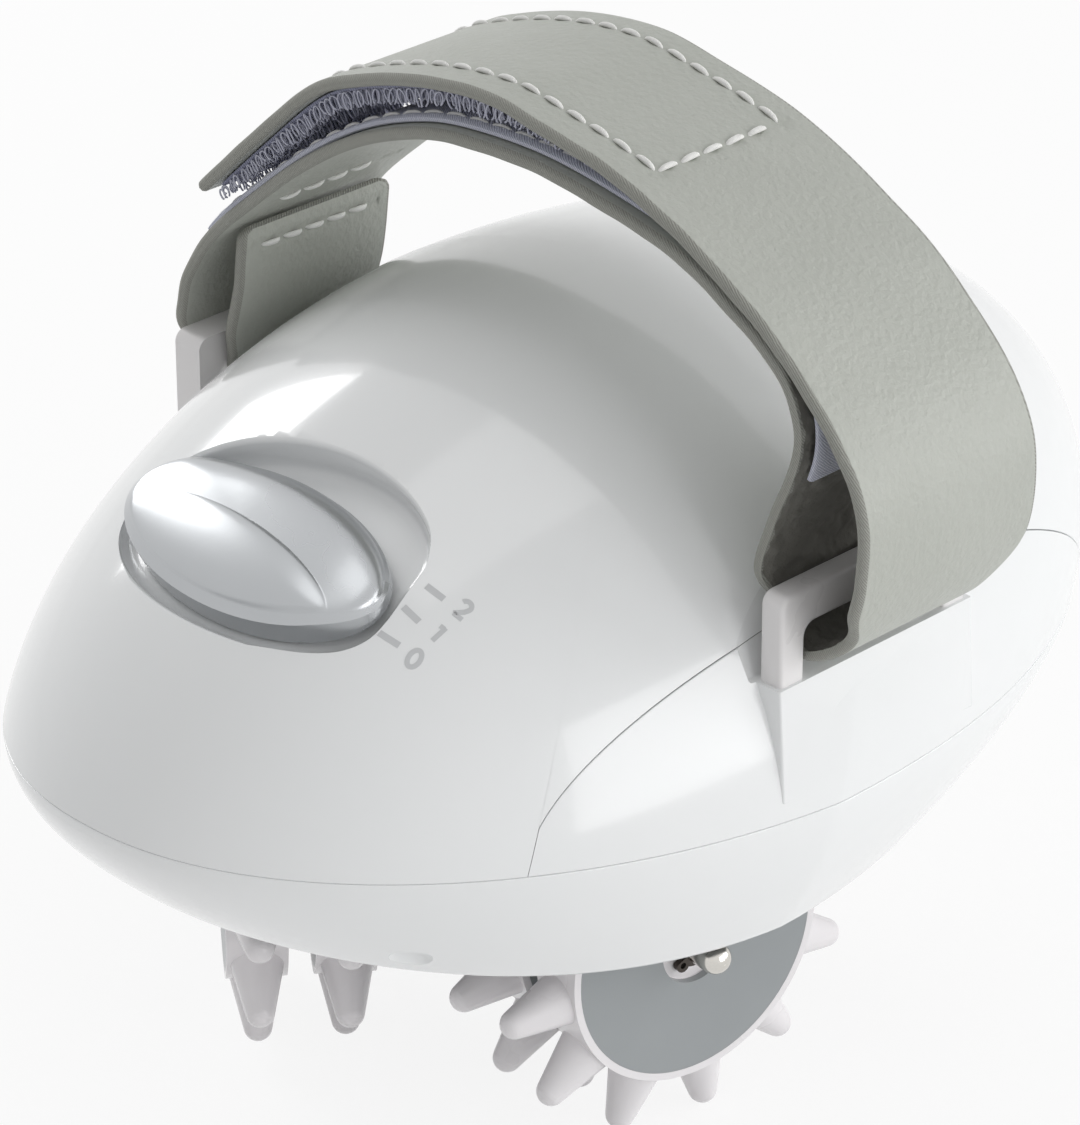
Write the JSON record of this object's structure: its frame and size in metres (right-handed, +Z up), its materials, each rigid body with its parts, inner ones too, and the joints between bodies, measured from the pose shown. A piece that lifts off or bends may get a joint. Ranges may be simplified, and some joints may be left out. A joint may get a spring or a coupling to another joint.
{
  "type": "anti-cellulite massager",
  "caption": "Hand-held body massager: egg-shaped housing with an adjustable hand strap and a swinging speed knob, above a motor-driven turning head with freely spinning nubbed rollers.",
  "frame": {"origin": "point of the resting plane straight below the axis of the roller head; z = 0 is the surface that the massager stands on", "axes": "+Z up along the roller head's axis; -Y towards the nose with the speed knob, +Y towards the tail with the power inlet; +X towards the side where the strap is folded back"},
  "size_m": [0.1162, 0.1498, 0.1257],
  "materials": {
    "gloss_white": "glossy moulded plastic",
    "loop_white": "smooth moulded plastic",
    "strap_leather": "fine-grained leather",
    "loop_tape": "soft looped pile",
    "hook_tape": "stiff hook tape",
    "knob_silver": "silver lacquer on plastic",
    "inner_steel": "plain",
    "axle_steel": "polished",
    "dark_plastic": "plain",
    "board": "plain",
    "inner_white": "moulded",
    "bronze": "plain",
    "gear_plastic": "moulded",
    "roller_white": "moulded",
    "disc_grey": "moulded"
  },
  "bodies": {
    "housing": {"top_shell": "gloss_white", "base_shell": "gloss_white", "side_panel_left": "gloss_white", "side_panel_right": "gloss_white", "strap_loop_left": "loop_white", "strap_loop_right": "loop_white", "hand_strap": "strap_leather", "loop_tape": "loop_tape", "hook_tape": "hook_tape", "speed_switch": "dark_plastic", "circuit_board": "board", "board_screws": "inner_steel", "power_inlet": "dark_plastic", "inlet_pin": "inner_steel", "well_tray": "inner_white", "output_bush": "bronze", "idler_pin": "inner_steel", "gear_plate": "inner_steel", "motor_can": "inner_steel", "housing_screws": "inner_steel", "tray_screws": "inner_steel", "plate_screws": "inner_steel"},
    "knob": {"speed_knob": "knob_silver", "knob_spindle": "inner_steel"},
    "motor_rotor": {"motor_shaft": "inner_steel", "motor_pinion": "bronze"},
    "idler": {"idler_gear": "gear_plastic"},
    "head": {"output_gear": "gear_plastic", "output_shaft": "inner_steel", "shaft_clip": "inner_steel", "head_hub": "inner_white", "hub_screw": "inner_steel", "axle_1": "axle_steel", "axle_2": "axle_steel", "axle_3": "axle_steel", "axle_clips": "inner_steel", "roller_spacers": "inner_white"},
    "outer_roller_1": {"roller_outer_1": "roller_white", "discs_outer_1": "disc_grey"},
    "inner_roller_1": {"roller_inner_1": "roller_white", "discs_inner_1": "disc_grey"},
    "outer_roller_2": {"roller_outer_2": "roller_white", "discs_outer_2": "disc_grey"},
    "inner_roller_2": {"roller_inner_2": "roller_white", "discs_inner_2": "disc_grey"},
    "outer_roller_3": {"roller_outer_3": "roller_white", "discs_outer_3": "disc_grey"},
    "inner_roller_3": {"roller_inner_3": "roller_white", "discs_inner_3": "disc_grey"}
  },
  "joints": [
    {"name": "knob_turn", "type": "hinge", "parent": "housing", "child": "knob", "pos_m": [-0.0125, -0.04316, 0.08196], "axis": [0, -0.4695, 0.8829], "range_deg": [0, 13]},
    {"name": "head_spin", "type": "hinge", "parent": "housing", "child": "head", "pos_m": [0, 0, 0], "axis": [0, 0, 1], "continuous": true},
    {"name": "idler_spin", "type": "hinge", "parent": "housing", "child": "idler", "pos_m": [-0.01805, 0.02396, 0], "axis": [0, 0, 1], "continuous": true},
    {"name": "motor_spin", "type": "hinge", "parent": "housing", "child": "motor_rotor", "pos_m": [0.00416, 0.01801, 0], "axis": [0, 0, 1], "continuous": true},
    {"name": "outer_roller_1_spin", "type": "hinge", "parent": "head", "child": "outer_roller_1", "pos_m": [0, 0, 0.02601], "axis": [0.9869, -0.1616, 0], "continuous": true},
    {"name": "inner_roller_1_spin", "type": "hinge", "parent": "head", "child": "inner_roller_1", "pos_m": [0, 0, 0.02601], "axis": [0.9869, -0.1616, 0], "continuous": true},
    {"name": "outer_roller_2_spin", "type": "hinge", "parent": "head", "child": "outer_roller_2", "pos_m": [0, 0, 0.02601], "axis": [-0.3535, 0.9354, 0], "continuous": true},
    {"name": "inner_roller_2_spin", "type": "hinge", "parent": "head", "child": "inner_roller_2", "pos_m": [0, 0, 0.02601], "axis": [-0.3535, 0.9354, 0], "continuous": true},
    {"name": "outer_roller_3_spin", "type": "hinge", "parent": "head", "child": "outer_roller_3", "pos_m": [0, 0, 0.02601], "axis": [-0.6334, -0.7738, 0], "continuous": true},
    {"name": "inner_roller_3_spin", "type": "hinge", "parent": "head", "child": "inner_roller_3", "pos_m": [0, 0, 0.02601], "axis": [-0.6334, -0.7738, 0], "continuous": true}
  ],
  "couplings": [
    {"joint": "idler_spin", "follows": "head_spin", "ratio": -4},
    {"joint": "motor_spin", "follows": "head_spin", "ratio": 14.4}
  ]
}
